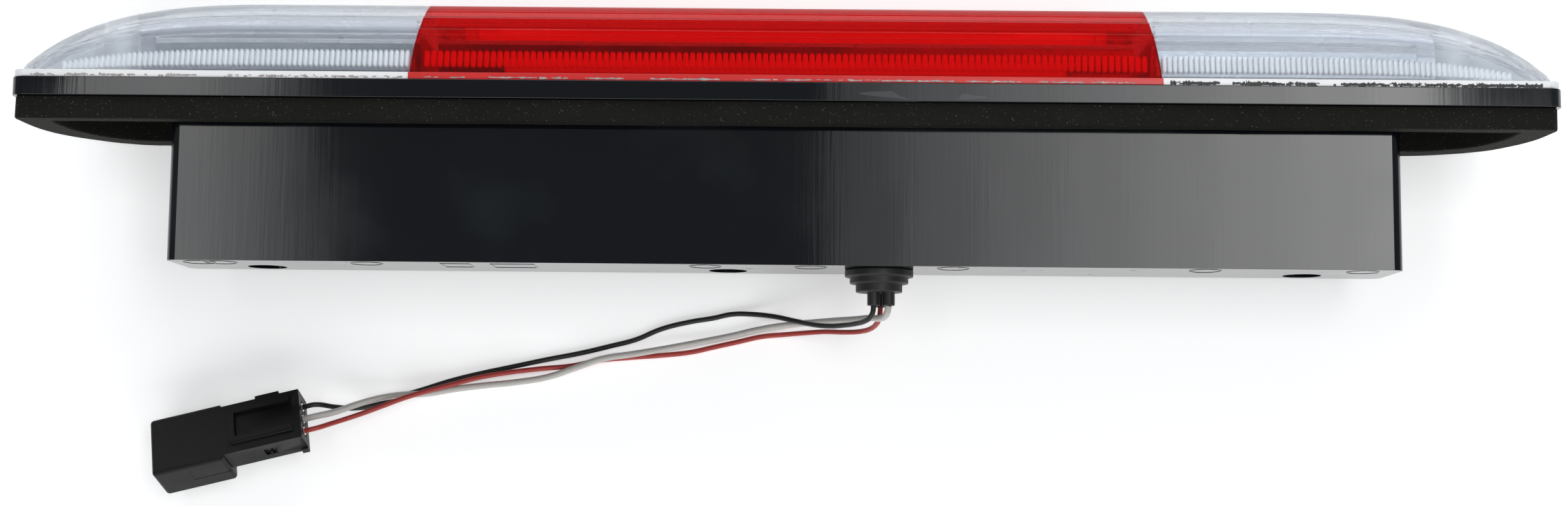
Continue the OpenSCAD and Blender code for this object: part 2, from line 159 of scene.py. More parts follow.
# Wires of the pigtail. Three single-core leads in PVC insulation run from the
# nipples of the grommet over the ground to the connector. They are thin and
# limp, so they lie where they fall and cross over one another twice.
black_route = [
    (-25.4, 55.2, 33.7), (-25.2, 57, 33.4), (-24.4, 58.5, 32.3), (-23.2, 59.3, 30.4),
    (-20.8, 59.8, 26.6), (-17.5, 60, 22.2), (-13.5, 60, 17.8), (-9, 59.4, 13.4),
    (-3.5, 58, 8.4), (3, 56.4, 4.2), (9.5, 55.6, 1.6), (15.5, 55.6, 0.8), (21, 56.8, 0.8),
    (28, 58, 0.8), (36.5, 60.2, 0.8), (44, 63.4, 0.8), (51.5, 65.4, 0.8), (60.5, 67.6, 0.8),
    (70.5, 69.6, 0.8), (80.5, 71.8, 0.8), (90.5, 74, 0.8), (99, 76.2, 0.8), (107, 78.8, 0.8),
    (114, 81, 1), (120.5, 83.5, 2.1), (126.4, 84.6, 4.2), (131.4, 84.4, 7),
]
white_route = [
    (-29.6, 55.2, 33.7), (-29.3, 57, 33.3), (-28.5, 58.2, 32.2), (-27.4, 58.5, 30.4),
    (-25, 58.2, 26.8), (-20.5, 58.2, 20.4), (-14.5, 58.2, 14), (-8, 58.4, 8.4),
    (-2, 58.8, 4.6), (6.5, 60, 1.9), (16, 62.2, 1.2), (26.5, 64.4, 1.8), (34.5, 66, 2.5),
    (44.5, 67.8, 2.8), (54, 69.4, 3), (61, 71.8, 2.8), (70, 74.8, 1.4), (79.5, 76.4, 1),
    (88.5, 77.4, 1), (97.5, 78.6, 1.3), (105.5, 80, 2.3), (113.5, 80.6, 3.4),
    (119, 81.6, 4.6), (124.8, 83.4, 7), (131, 85.9, 10),
]
red_route = [
    (-27.6, 55.2, 27.3), (-27.5, 57, 27), (-27.2, 58.6, 26), (-26.7, 59.6, 24.2),
    (-25.2, 60.8, 20.8), (-22.4, 61.4, 16.8), (-18, 61.4, 12.6), (-12, 61, 7.4),
    (-6, 61.2, 4), (0, 61.6, 1.8), (6.5, 62.2, 0.9), (13.5, 63.8, 0.8), (20.5, 65.4, 0.8),
    (27.5, 67, 0.8), (36, 68, 0.8), (46, 68.8, 0.8), (55.5, 69.8, 0.8), (63, 71.4, 0.8),
    (72.5, 72.4, 1.8), (81.5, 73.6, 2.4), (89.5, 75, 2.5), (98.5, 77.4, 2.9),
    (106, 79.6, 4.2), (112, 81.6, 5.2), (118.5, 84.2, 6.2), (125, 86.8, 8),
    (131.4, 89.2, 11),
]
conn_turn = Matrix.Rotation(math.radians(13.8), 4, "Z") @ Matrix.Rotation(math.radians(28), 4, "X")
conn_place = Matrix.Translation(at(138.4, 92.2, 4.366)) @ conn_turn @ Matrix.Scale(mm, 4)


def pigtail_wire(name, node, route, cavity, width, length, colour, slot, rough):
    finish = Finish(slot, base_color=colour, roughness=rough, specular_ior_level=0.4)
    mottle = finish.grain(900)
    finish.feed("Base Color", finish.mix(mottle * 0.35, colour, tuple(0.55 * c for c in colour)))
    finish.feed("Roughness", finish.between(mottle, rough - 0.08, rough + 0.1))
    finish.bump(finish.grain(2500), 0.00004, 0.5)
    curve = bpy.data.curves.new(name, "CURVE")
    curve.dimensions = "3D"
    curve.resolution_u = 5
    curve.bevel_depth = width * mm / 2
    curve.bevel_resolution = 5
    curve.use_fill_caps = True
    line = curve.splines.new("BEZIER")
    ends = [conn_place @ Vector((along, cavity, 9)) for along in (-3.5, 0)]
    points = [at(*point) for point in route] + ends
    line.bezier_points.add(len(points) - 1)
    for knot, point in zip(line.bezier_points, points):
        knot.co = point
        knot.handle_left_type = "AUTO"
        knot.handle_right_type = "AUTO"
    made = own(name, curve, finish, [node])
    return made, points[0], length, width * mm


black_lead = pigtail_wire("black_lead", "black_wire", black_route, -4, 1.5, 0.1884,
                          (0.012, 0.012, 0.012), "black_insulation", 0.42)
white_lead = pigtail_wire("white_lead", "white_wire", white_route, 0, 1.9, 0.19,
                          (0.56, 0.54, 0.51), "white_insulation", 0.4)
red_lead = pigtail_wire("red_lead", "red_wire", red_route, 4, 1.5, 0.1871,
                        (0.40, 0.045, 0.036), "red_insulation", 0.38)


# Connector. A shrouded male connector, moulded in black nylon with a fine matt
# surface. Its shroud has rounded corners, its wired body has a clip rail on top
# and a window in its side, and a thin ridge is left where the mould parts.
def from_cad(node):
    """A merged copy of a CAD part's mesh, with its flat faces made whole."""
    shape = bmesh.new()
    shape.from_mesh(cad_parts[node].data)
    bmesh.ops.remove_doubles(shape, verts=shape.verts, dist=2e-6)
    bmesh.ops.dissolve_limit(shape, angle_limit=math.radians(1.5), verts=shape.verts, edges=shape.edges)
    return shape


def round_edges(shape, edges, radius, steps=2):
    bmesh.ops.bevel(shape, geom=edges, offset=radius, offset_type="OFFSET", affect="EDGES",
                    segments=steps, profile=0.5, material=-1, clamp_overlap=True)


def sharp_edges(shape, least=40):
    return [e for e in shape.edges if len(e.link_faces) == 2
            and math.degrees(e.calc_face_angle(0)) > least]


def piece(name, shape, finish, stands_for=(), body="lamp", crease=35):
    mesh = bpy.data.meshes.new(name)
    shape.to_mesh(mesh)
    shape.free()
    mesh.shade_smooth()
    mesh.set_sharp_from_angle(angle=math.radians(crease))
    made = own(name, mesh, finish, stands_for, body)
    even = made.modifiers.new("flat faces", "WEIGHTED_NORMAL")
    even.weight = 100
    even.keep_sharp = True
    return made


def bar(shape, x, y, z, frame_of=None):
    """Adds a block that spans x, y and z, each a pair, in millimetres."""
    low = Vector((x[0], y[0], z[0]))
    high = Vector((x[1], y[1], z[1]))
    size = Matrix.Diagonal((*(high - low), 1))
    centre = Matrix.Translation((low + high) / 2)
    place = frame_of or Matrix.Translation(at(0, 0, 0)) @ Matrix.Scale(mm, 4)
    return bmesh.ops.create_cube(shape, size=1, matrix=place @ centre @ size)["verts"]


nylon = Finish("connector_nylon", base_color=(0.011, 0.011, 0.012), roughness=0.45,
               specular_ior_level=0.2)
nylon_spark = nylon.grain(5200, detail=2)
nylon_cloud = nylon.grain(160)
nylon.feed("Base Color", nylon.mix(nylon_cloud, (0.004, 0.004, 0.0045), (0.011, 0.011, 0.012)))
nylon.feed("Roughness", nylon.between(nylon_cloud, 0.38, 0.52))
nylon.bump(nylon_spark, 0.00005, 0.8)

shell = from_cad("connector_housing")
bmesh.ops.transform(shell, matrix=conn_place.inverted(), verts=shell.verts)
shroud_corner = [e for e in shell.edges if e.calc_length() > 12
                 and all(abs(abs(v.co.y) - 9.3) < 0.1 and min(abs(v.co.z), abs(v.co.z - 13)) < 0.1
                         for v in e.verts)]
round_edges(shell, shroud_corner, 1.5, 5)
round_edges(shell, sharp_edges(shell, 60), 0.28, 2)
for tooth in ((8.5, 9.1), (10.0, 10.7)):
    bar(shell, tooth, (7.2, 7.9), (9.4, 10.6), Matrix())
    bar(shell, tooth, (7.2, 7.9), (7.4, 8.4), Matrix())
bar(shell, (22.9, 34.2), (9.2, 9.36), (5.1, 5.3), Matrix())
bar(shell, (34.0, 34.2), (9.2, 9.36), (5.2, 9.6), Matrix())
bmesh.ops.transform(shell, matrix=conn_place, verts=shell.verts)
plug_shell = piece("plug_shell", shell, nylon, ["connector_housing"])

tin = Finish("tin_plate", base_color=(0.72, 0.69, 0.62), metallic=1.0, roughness=0.3)
tin.feed("Roughness", tin.between(tin.grain(1500, (0.1, 1, 1)), 0.2, 0.42))
blades = from_cad("connector_terminals")
round_edges(blades, sharp_edges(blades, 60), 0.12 * mm, 2)
plug_blades = piece("plug_blades", blades, tin, ["connector_terminals"])

lock_nylon = Finish("lock_nylon", base_color=(0.62, 0.58, 0.5), roughness=0.4, subsurface_weight=0.1)
lock_nylon.feed("Base Color", lock_nylon.mix(lock_nylon.grain(300), (0.66, 0.62, 0.53), (0.55, 0.51, 0.43)))
comb = from_cad("terminal_lock")
round_edges(comb, sharp_edges(comb, 60), 0.15 * mm, 2)
plug_lock = piece("plug_lock", comb, lock_nylon, ["terminal_lock"], body="lock")


# Housing. It is moulded in glossy black ABS: the flange that the lens is welded
# to, and the deep box behind it. Handling has left fine scratches and smudges,
# and the ejector pins have left shallow rings in the rear face.
def turn(shape, outline, x, z, closed=True, steps=48):
    """Spins an outline of (radius, y) about a line along Y through x and z."""
    corners = [shape.verts.new(at(x + radius, y, z)) for radius, y in outline]
    pairs = list(zip(corners, corners[1:]))
    if closed:
        pairs.append((corners[-1], corners[0]))
    edges = [shape.edges.new(pair) for pair in pairs]
    bmesh.ops.spin(shape, geom=corners + edges, cent=at(x, 0, z), axis=(0, 1, 0),
                   angle=math.tau, steps=steps, use_merge=True)
    bmesh.ops.remove_doubles(shape, verts=shape.verts, dist=1e-6)
    bmesh.ops.recalc_face_normals(shape, faces=shape.faces)


gloss_black = Finish("black_housing", base_color=(0.006, 0.007, 0.009), roughness=0.14,
                     specular_ior_level=0.55)
rub = gloss_black.grain(26, (1, 1, 1), 6)
drag = gloss_black.grain(900, (0.03, 1, 1), 2)
weave = gloss_black.grain(900, (1, 0.03, 1), 2)
hair = gloss_black.grain(260, (1, 0.05, 1), 1).above(0.735)
hair_slant = gloss_black.grain(300, (0.06, 0.5, 1), 1).above(0.75)
marks = (hair + hair_slant) * gloss_black.grain(30, detail=1).above(0.52)
gloss_black.feed("Base Color", gloss_black.mix(marks * 0.6, gloss_black.mix(
    gloss_black.between(rub, 0, 1, 0.5, 0.75), (0.002, 0.003, 0.005), (0.009, 0.012, 0.014)),
    (0.05, 0.055, 0.06)))
gloss_black.feed("Roughness", gloss_black.between(rub, 0.05, 0.14) + marks * 0.15)
gloss_black.bump(drag * 0.5 + weave * 0.5 + rub * 2 - marks * 0.5, 0.00002, 0.7)

case = from_cad("housing")
rear_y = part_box("housing")[1][1]
rear_rim = [e for e in case.edges if all(abs(v.co.y - rear_y) < 1e-5 for v in e.verts)
            and all(abs(v.co.x) > 0.1719 or min(abs(v.co.z - 0.018), abs(v.co.z - 0.045)) < 0.0031
                    for v in e.verts) and len(e.link_faces) == 2
            and math.degrees(e.calc_face_angle(0)) > 60]
round_edges(case, rear_rim, 1.3 * mm, 4)
flange_rim = [e for e in sharp_edges(case, 60)
              if all(abs(v.co.z) < 1e-5 or v.co.z > 0.0515 or abs(v.co.x) > 0.178 for v in e.verts)
              and all(v.co.y <= at(0, 0.01, 0).y for v in e.verts)]
round_edges(case, flange_rim, 0.35 * mm, 2)
piece("case", case, gloss_black, ["housing"])

pin_marks = bmesh.new()
for x in (164, 158, 117, 22, -7.5, -47.5, -118, -162):
    turn(pin_marks, [(4.3, 44.9), (4.3, 45.1), (4.6, 45.1), (4.6, 44.9)], x, 38.5)
for x, wide in ((76, 12), (92, 8)):
    for z in (30.5, 40.5):
        bar(pin_marks, (x - wide / 2, x + wide / 2), (44.9, 45.1), (z - 0.2, z + 0.2))
    for side in (-1, 1):
        bar(pin_marks, (x + side * wide / 2 - 0.2, x + side * wide / 2 + 0.2), (44.9, 45.1), (30.5, 40.5))
piece("pin_marks", pin_marks, gloss_black)


# Foam gasket. It is a ring of closed-cell EPDM, cut from sheet and stuck to the
# back of the flange. Its cut walls are slightly wavy, and open cells show on
# them as small pits with paler specks.
foam = Finish("foam", base_color=(0.02, 0.018, 0.014), roughness=0.9, specular_ior_level=0.25)
cells = foam.grain(1400, kind="TexVoronoi")
specks = foam.grain(2300, detail=2).above(0.70)
foam.feed("Base Color", foam.mix(specks, foam.mix(foam.grain(60), (0.0035, 0.0035, 0.0025),
                                                  (0.010, 0.0095, 0.007)), (0.12, 0.11, 0.09)))
foam.bump(cells + foam.grain(500, detail=4) * 1.5, 0.00012, 0.9)
ring = from_cad("foam_gasket")
bmesh.ops.subdivide_edges(ring, edges=[e for e in ring.edges if e.calc_length() > 0.02], cuts=60)
round_edges(ring, sharp_edges(ring, 60), 0.5 * mm, 3)
for v in ring.verts:
    wander = noise.noise_vector(v.co * 55) * 0.25 + noise.noise_vector(v.co * 260) * 0.08
    v.co.x += wander.x * mm
    v.co.z = min(max(v.co.z + wander.z * mm, 0.0008), 0.0512)
    if v.co.y > at(0, 3, 0).y:
        v.co.y += wander.y * 0.8 * mm
gasket = piece("gasket", ring, foam, ["foam_gasket"], crease=60)


# Lens. One acrylic dome moulded in two colours, clear, red, clear, with a thin
# flat rim that is welded to the flange. Two styling ridges run along its upper
# shoulder and draw together at the tips. A screw passes through each clear end.
rise = 23
lens_base = -5.2
rim_front = -7.2
lens_half = 213.4
sweep_start = 140
sweep_run = 74
well_x = 190
well_z = 28
well_r = 5.2
ridged = [(0, 0), (0.2, 0.4), (0.45, 1.2), (0.6, 1.8), (0.64, 2.05), (0.665, 2.7), (0.74, 3.0),
          (0.79, 3.3), (0.81, 3.95), (0.87, 4.6), (0.92, 5.6), (0.96, 6.8), (0.985, 8.2), (1, 10)]
lower = [(1, 0.62), (0.985, 0.78), (0.95, 0.87), (0.88, 0.94), (0.76, 0.98), (0.6, 1), (0, 1)]


def dome_height(x, inset):
    sweep = min(max((abs(x) - sweep_start + inset) / sweep_run, 0), 1)
    return (rise - inset) * (1 - sweep ** 2.8) ** 0.6


def dome_low(x, inset):
    share = min(max((abs(x) - 185) / (28.5 - inset), 0), 1)
    return 38 - (36.5 - inset) * math.sqrt(1 - share ** 2)


def dome_top(x, inset):
    run = min(max(abs(x) + inset - 211, 0), 2.5)
    return 48 - inset + math.sqrt(2.5 ** 2 - run ** 2)


def dome_point(x, step, inset):
    """The point on the dome at x and at step, from 0 at the upper edge to 1 at the lower."""
    top = dome_top(x, inset)
    low = dome_low(x, inset)
    if step < 0.6:
        where = step / 0.6 * (len(ridged) - 1)
        first = ridged[int(where)]
        second = ridged[min(int(where) + 1, len(ridged) - 1)]
        part = where - int(where)
        height = first[0] + (second[0] - first[0]) * part
        drop = first[1] + (second[1] - first[1]) * part
        z = top - drop * min(1, (top - low) / 30)
    else:
        where = (step - 0.6) / 0.4 * (len(lower) - 1)
        first = lower[int(where)]
        second = lower[min(int(where) + 1, len(lower) - 1)]
        part = where - int(where)
        height = first[0] + (second[0] - first[0]) * part
        fall = first[1] + (second[1] - first[1]) * part
        z = top - 10 * min(1, (top - low) / 30) * (1 - fall) - (top - low) * fall
    return Vector((x, lens_base - dome_height(x, inset) * height, z))


def trim(shape, point, way):
    """Cuts off what lies beyond a plane on the side that way points to, and closes the cut."""
    bmesh.ops.bisect_plane(shape, geom=shape.verts[:] + shape.edges[:] + shape.faces[:],
                           plane_co=point, plane_no=way, clear_outer=True)
    open_edges = [e for e in shape.edges if e.is_boundary]
    bmesh.ops.triangle_fill(shape, edges=open_edges, use_beauty=True, use_dissolve=True)
    bmesh.ops.recalc_face_normals(shape, faces=shape.faces)


wall_t = 2.4
lamp_frame = Matrix.Translation(at(0, 0, 0)) @ Matrix.Scale(mm, 4)


def dome_shell(start, end, stations):
    """A closed stretch of the dome. start and end give x for a share of the rise."""
    shape = bmesh.new()
    for inset in (0, wall_t):
        grid = bmesh.ops.create_grid(shape, x_segments=stations, y_segments=65, size=1)["verts"]
        for v in grid:
            along = (v.co.x + 1) / 2
            step = (v.co.y + 1) / 2
            guess = dome_point(0, step, inset)
            share = max((lens_base - guess.y) / rise, 0)
            x = start(share) + (end(share) - start(share)) * along
            reach = lens_half - inset
            v.co = dome_point(min(max(x, -reach), reach), step, inset)
    border = [e for e in shape.edges if e.is_boundary]
    bmesh.ops.bridge_loops(shape, edges=border)
    bmesh.ops.transform(shape, matrix=lamp_frame, verts=shape.verts)
    bmesh.ops.remove_doubles(shape, verts=shape.verts, dist=1e-6)
    bmesh.ops.recalc_face_normals(shape, faces=shape.faces)
    trim(shape, at(0, rim_front - 0.01, 0), (0, 1, 0))
    return shape


# the share of the light that goes straight through, so that edges don't turn black
plain_share = 0.38


def acrylic(name, colour, rough):
    """Clear plastic that lets the light of the lamps through without bending it."""
    made = Finish(name, base_color=colour, roughness=rough, ior=1.49, transmission_weight=1.0)
    flow = made.grain(30, (0.25, 1, 1), 2)
    made.bump(flow, 0.0006, 0.25)
    made.feed("Roughness", made.between(made.grain(55), rough * 0.5, rough * 1.6))
    clear = made.node("BsdfTransparent", {}, {0: tuple(c ** 0.5 for c in colour)})
    ray = made.node("LightPath", {}, {}, "Is Shadow Ray")
    glass = Socket(made, made.shader.outputs[0])
    both = made.node("MixShader", {}, {0: ray * (1 - plain_share) + plain_share, 1: glass, 2: clear})
    made.join(made.tree.nodes["Material Output"].inputs["Surface"], both)
    return made


clear_acrylic = acrylic("clear_acrylic", (0.74, 0.77, 0.81), 0.03)
# Matt acrylic for the screw tubes and the clear rims, with a faint glow as painted light that lightens
# them.
frosted_glow = Finish("frosted_acrylic_glow", base_color=(0.9, 0.91, 0.92), roughness=0.35,
                 emission_color=(0.9, 0.92, 0.95), emission_strength=0.08)
frosted_glow.feed("Base Color", frosted_glow.mix(frosted_glow.grain(120), (0.78, 0.79, 0.8), (0.93, 0.94, 0.95)))
red_acrylic = acrylic("red_acrylic", (0.66, 0.008, 0.008), 0.03)


def red_end(share):
    return 104.4 - 4.4 * share ** 1.6


# the red stretch, and the two clear ends that are moulded against it
red_dome = dome_shell(lambda share: -red_end(share), red_end, 90)
piece("red_dome", red_dome, red_acrylic, ["red_lens"], crease=20)


def drill(made, x):
    """Cuts the recess for a mounting screw through a clear end."""
    bore = bmesh.new()
    turn(bore, [(0, 0), (well_r, 0), (well_r, -40), (0, -40)], x, well_z, closed=False, steps=40)
    mesh = bpy.data.meshes.new("bore")
    bore.to_mesh(mesh)
    bore.free()
    cutter = bpy.data.objects.new("bore", mesh)
    bpy.context.scene.collection.objects.link(cutter)
    cut = made.modifiers.new("bore", "BOOLEAN")
    cut.operation = "DIFFERENCE"
    cut.solver = "EXACT"
    cut.object = cutter
    whole = bpy.context.evaluated_depsgraph_get()
    drilled = bpy.data.meshes.new_from_object(made.evaluated_get(whole))
    made.modifiers.clear()
    made.data = drilled
    bpy.data.objects.remove(cutter)
    bpy.data.meshes.remove(mesh)


for side, name in ((1, "left"), (-1, "right")):
    inner = (lambda share, side=side: side * (red_end(share) + 0.08))
    outer = (lambda share, side=side: side * lens_half)
    end_dome = dome_shell(inner, outer, 64)
    made = piece("clear_dome_" + name, end_dome, clear_acrylic,
                 ["clear_lens_" + name], crease=20)
    drill(made, side * well_x)
    tube = bmesh.new()
    crown = lens_base - dome_height(well_x, 2.45)
    turn(tube, [(5.25, lens_base), (5.25, crown), (6.6, crown), (6.6, lens_base)],
         side * well_x, well_z)
    piece("screw_tube_" + name, tube, frosted_glow)


# Flutes. They are half-round ribs moulded inside the upper wall of the lens, to
# spread its light. They are shorter towards the tips, as the dome comes down.
rib = bmesh.new()
bmesh.ops.create_uvsphere(rib, u_segments=10, v_segments=8, radius=1,
                          matrix=Matrix.Rotation(math.pi / 2, 4, "X"))
for v in rib.verts:
    v.co.y = math.copysign(0.7 + 0.3 * abs(v.co.y), v.co.y) if abs(v.co.y) > 0.2 else 0
trim(rib, Vector(), (0, 0, -1))
half_rib = bpy.data.meshes.new("half_rib")
rib.to_mesh(half_rib)
rib.free()


def row_of_ribs(shape, low, high, pitch, wide, deep, ends):
    """Lays ribs side by side between the two points that ends() gives at each x."""
    count = int((high - low) / pitch)
    for i in range(count):
        x = low + (i + 0.5) * (high - low) / count
        near, far = ends(x)
        along = far - near
        tilt = Matrix.Rotation(math.atan2(near.z - far.z, near.y - far.y), 4, "X")
        size = Matrix.Diagonal((pitch * wide, along.length / 2, deep, 1))
        first = len(shape.verts)
        shape.from_mesh(half_rib)
        shape.verts.ensure_lookup_table()
        bmesh.ops.transform(shape, matrix=Matrix.Translation((near + far) / 2) @ tilt @ size,
                            verts=shape.verts[first:])


def flute_ends(x):
    drop = Vector((0, 0, 0.75))
    return dome_point(x, 0.045, wall_t) - drop, dome_point(x, 0.0885, wall_t) - drop


# The flutes are drawn as pale opaque ribs with a glow: painted light, in place of the light that clear ribs
# bend and carry.
pale_flute_glow = Finish("flute_painted_glow", base_color=(0.78, 0.79, 0.79), roughness=0.22, ior=1.49,
                emission_color=(0.9, 0.92, 0.95), emission_strength=0.24)
pale_flute_glow.feed("Base Color", pale_flute_glow.mix(pale_flute_glow.grain(90, (1, 0.3, 1)), (0.74, 0.75, 0.75), (0.94, 0.94, 0.93)))
fluted_red = Finish("fluted_red", base_color=(0.75, 0.1, 0.09), roughness=0.25, ior=1.49,
                    emission_color=(1, 0.1, 0.08), emission_strength=0.22)
fluted_red.feed("Base Color", fluted_red.mix(fluted_red.grain(90, (1, 0.3, 1)),
                                             (0.85, 0.4, 0.36), (1, 0.6, 0.55)))
for name, slot_name, finish, low, high, pitch in (
        ("red_flutes", "red_acrylic", fluted_red, -101, 101, 1.85),
        ("flutes_left", "clear_acrylic", pale_flute_glow, 104.8, 202, 1.48),
        ("flutes_right", "clear_acrylic", pale_flute_glow, -202, -104.8, 1.48)):
    flutes = bmesh.new()
    row_of_ribs(flutes, low, high, pitch, 0.43, 0.7, flute_ends)
    bmesh.ops.transform(flutes, matrix=lamp_frame, verts=flutes.verts)
    piece(name, flutes, finish, crease=50)


# Rim of the lens. It is the flat plate around the foot of the dome, in the same
# three mouldings. Its cut edge is matt and has a faint painted glow, so it looks paler than the dome.
# The red rim has a faint red glow, as painted light.
frosted_red_glow = Finish("frosted_red_glow", base_color=(0.6, 0.02, 0.02), roughness=0.3,
                     emission_color=(1, 0.03, 0.02), emission_strength=0.06)
frosted_red_glow.feed("Base Color", frosted_red_glow.mix(frosted_red_glow.grain(120), (0.48, 0.012, 0.012),
                                               (0.72, 0.03, 0.03)))
for name, node, finish, slot_name in (
        ("rim_red", "red_lens", frosted_red_glow, "red_acrylic"),
        ("rim_left", "clear_lens_left", frosted_glow, "clear_acrylic"),
        ("rim_right", "clear_lens_right", frosted_glow, "clear_acrylic")):
    rim = from_cad(node)
    trim(rim, at(0, rim_front, 0), (0, -1, 0))
    round_edges(rim, [e for e in sharp_edges(rim, 60) if all(v.co.z > 0.0514 for v in e.verts)],
                0.25 * mm, 2)
    piece(name, rim, finish)


# Reflectors. Each is a moulded tray, vacuum-metallised, with a cup round each
# light. The stop reflector has double end walls and fine steps on its upper side.
metallised = Finish("bright_metallising", base_color=(0.58, 0.6, 0.63), metallic=0.95, roughness=0.2)
metallised.feed("Roughness", metallised.between(metallised.grain(70), 0.14, 0.3))
metallised.bump(metallised.grain(240), 0.0001, 0.4)
for name, node in (("stop_tray", "brake_reflector"), ("cargo_tray_left", "cargo_reflector_left"),
                   ("cargo_tray_right", "cargo_reflector_right")):
    tray = from_cad(node)
    round_edges(tray, sharp_edges(tray, 60), 0.2 * mm, 2)
    piece(name, tray, metallised, [node])


# Hoods. The upper side of each reflector is a thin metallised hood in two shallow
# terraces that follow the ridges of the lens. The stop hood has fine steps near
# its ends, and a hipped corner where it meets the double end walls.
terraces = [(-6.4, 43.9), (-8.5, 45.3), (-11.5, 45.6), (-15.3, 45.5), (-15.7, 45.0), (-17.6, 44.9),
            (-20.4, 44.6), (-20.8, 43.8), (-23.0, 43.0), (-24.3, 41.6), (-24.9, 38.5)]


def hood(low, high, stations, dips, rows):
    shape = bmesh.new()
    grid = bmesh.ops.create_grid(shape, x_segments=stations, y_segments=rows, size=1)
    for v in grid["verts"]:
        x = low + (v.co.x + 1) / 2 * (high - low)
        y, z = terraces[round((v.co.y + 1) / 2 * rows)]
        share = dome_height(x, 0) / rise
        v.co = (x, -6.4 + (y + 6.4) * share, z - dips(abs(x), y))
    bmesh.ops.recalc_face_normals(shape, faces=shape.faces)
    if sum(f.normal.z for f in shape.faces) < 0:
        bmesh.ops.reverse_faces(shape, faces=shape.faces)
    bmesh.ops.solidify(shape, geom=shape.faces[:], thickness=0.7)
    return shape


# The stop hood is painted near-white, not metallised, with a red glow as painted red light.
hood_red_glow = Finish("stop_hood_red_glow", base_color=(0.9, 0.9, 0.9), metallic=0.1, roughness=0.35,
                   emission_color=(1, 0.1, 0.08), emission_strength=0.2)
hood_red_glow.feed("Roughness", hood_red_glow.between(hood_red_glow.grain(90), 0.3, 0.42))
hood_red_glow.bump(hood_red_glow.grain(200), 0.0001, 0.3)


def hip(x, y):
    return 1.3 if -20.5 < y < -8 and x > 84.5 - (y + 15.3) * 0.9 else 0


satin = Finish("satin_metallising", base_color=(0.4, 0.41, 0.44), metallic=0.5, roughness=0.3)
satin.feed("Base Color", satin.mix(satin.grain(28, (0.3, 1.6, 1)), (0.42, 0.43, 0.46), (0.7, 0.71, 0.74)))
satin.feed("Roughness", satin.between(satin.grain(70), 0.24, 0.4))
satin.bump(satin.grain(60, (0.2, 1.5, 1)), 0.0004, 0.4)
for name, low, high, finish in (("stop_hood", -90, 90, hood_red_glow),
                                ("cargo_hood_left", 103.5, 181, satin),
                                ("cargo_hood_right", -181, -103.5, satin)):
    if name == "stop_hood":
        cover = hood(low, high, 180, hip, 7)
        for side in (-1, 1):
            for i in range(5):
                reach = sorted((side * (50 + 4 * i), side * (84 - i)))
                bar(cover, reach, (-17.3 - 0.62 * i, -17.0 - 0.62 * i), (44.6, 45.25), Matrix())
    else:
        cover = hood(low, high, 40, lambda x, y: 0, 10)
    bmesh.ops.transform(cover, matrix=lamp_frame, verts=cover.verts)
    piece(name, cover, finish, crease=25)


# Seam of the weld. The lens is hot-plate welded to the flange, which squeezes a
# ragged bead of plastic out of the joint. It is sooty with burnt housing plastic at one end;
# along the rest of the lamp its pale colour is painted glint on the seam.
# The pale colour of the bead is a painted glint.
bead_glint = Finish("weld_bead_painted_glint", base_color=(0.5, 0.5, 0.5), roughness=0.25)
bead_glint.feed("Base Color", bead_glint.mix(bead_glint.grain(500), (0.65, 0.62, 0.6), (0.2, 0.16, 0.16)))
bead_soot = Finish("weld_bead_soot", base_color=(0.02, 0.02, 0.02), roughness=0.6)
bead_soot.feed("Base Color", bead_soot.mix(bead_soot.grain(500), (0.012, 0.012, 0.012), (0.09, 0.09, 0.09)))
bead_soot.bump(bead_soot.grain(900), 0.0002)
for name, low, high, finish, slot_name, wide, least in (
        ("weld_bead_red", -100, 100, bead_glint, "red_acrylic", 0.35, 0.12),
        ("weld_bead_left", 106, 209, bead_glint, "clear_acrylic", 0.5, 0.16),
        ("weld_bead_right", -209, -106, bead_soot, "black_housing", 0.8, -0.05)):
    bead = bmesh.new()
    grid = bmesh.ops.create_grid(bead, x_segments=300, y_segments=3, size=1)["verts"]
    for v in grid:
        x = low + (v.co.x + 1) / 2 * (high - low)
        patch = noise.noise(Vector((x * 0.11, 4, 0))) + 0.6 * noise.noise(Vector((x * 0.9, v.co.y, 7)))
        frill = noise.noise(Vector((x * 1.7, v.co.y * 3, 2)))
        spill = 0.3 + 1.2 * abs(frill) + 0.5 * abs(noise.noise(Vector((x * 4.1, 9, 1))))
        v.co = (x, -5.75 + v.co.y * wide * spill, 51.62 + 0.3 * abs(frill))
        v.tag = patch < least
    gone = [f for f in bead.faces if all(v.tag for v in f.verts)]
    bmesh.ops.delete(bead, geom=gone, context="FACES")
    bmesh.ops.recalc_face_normals(bead, faces=bead.faces)
    bmesh.ops.solidify(bead, geom=bead.faces[:], thickness=0.15)
    bmesh.ops.transform(bead, matrix=lamp_frame, verts=bead.verts)
    piece(name, bead, finish, crease=60)


# Circuit boards and what is soldered to them, behind the reflectors.
board = Finish("circuit_board", base_color=(0.02, 0.12, 0.05), roughness=0.35, coat_weight=0.4)
tracks = board.grain(420, kind="TexVoronoi").above(0.45)
board.feed("Base Color", board.mix(tracks, (0.012, 0.075, 0.032), (0.02, 0.14, 0.06)))
board.bump(tracks, 0.00004)
red_led = Finish("red_led", base_color=(0.55, 0.1, 0.08), roughness=0.12, coat_weight=0.6)
red_led.feed("Base Color", red_led.mix(red_led.grain(600), (0.6, 0.12, 0.1), (0.42, 0.06, 0.05)))
white_led = Finish("white_led", base_color=(0.8, 0.66, 0.2), roughness=0.15, coat_weight=0.6)
white_led.feed("Base Color", white_led.mix(white_led.grain(600), (0.86, 0.72, 0.22), (0.7, 0.55, 0.15)))
chip = Finish("chip", base_color=(0.02, 0.02, 0.022), roughness=0.5)
chip.bump(chip.grain(3000), 0.00003)
steel = Finish("screw_steel", base_color=(0.55, 0.54, 0.5), metallic=1.0, roughness=0.35)
